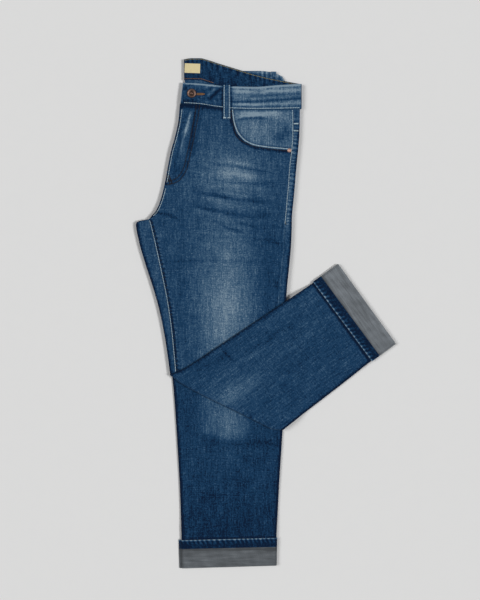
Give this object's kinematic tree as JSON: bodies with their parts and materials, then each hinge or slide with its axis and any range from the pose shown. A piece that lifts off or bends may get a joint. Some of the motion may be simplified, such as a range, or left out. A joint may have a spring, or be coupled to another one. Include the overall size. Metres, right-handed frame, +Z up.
{
  "type": "folded slim tapered jeans",
  "caption": "Slim tapered denim jeans folded in half and laid flat, with one leg folded back at the knee and both cuffs turned up.",
  "frame": {"origin": "under the middle of the garment's outline, on the surface it lies on", "axes": "+Z up, away from that surface; +Y along the straight leg towards the waist; +X towards the side seam"},
  "size_m": [0.4942, 0.9706, 0.0129],
  "materials": {
    "denim": "washed mid-blue stretch denim with faded thighs",
    "denim_dark": "darker denim of the hem allowance and belt loops",
    "denim_wrong_side": "grey-blue wrong side of the denim",
    "blank_label": "pale yellow woven label, bare",
    "antique_copper": "antique copper plating"
  },
  "bodies": {
    "root": {"left_front": "denim", "left_pocket_facing": "denim", "left_back": "denim", "left_yoke": "denim", "right_front": "denim", "right_back": "denim", "right_yoke": "denim", "inner_layers": "denim", "left_waistband": "denim", "right_waistband": "denim", "front_belt_loop": "denim_dark", "right_back_belt_loop": "denim_dark", "left_cuff_band": "denim_dark", "right_cuff_band": "denim_dark", "left_cuff": "denim_wrong_side", "right_cuff": "denim_wrong_side", "waistband_label": "blank_label", "button": "antique_copper", "pocket_rivet": "antique_copper"}
  },
  "joints": []
}
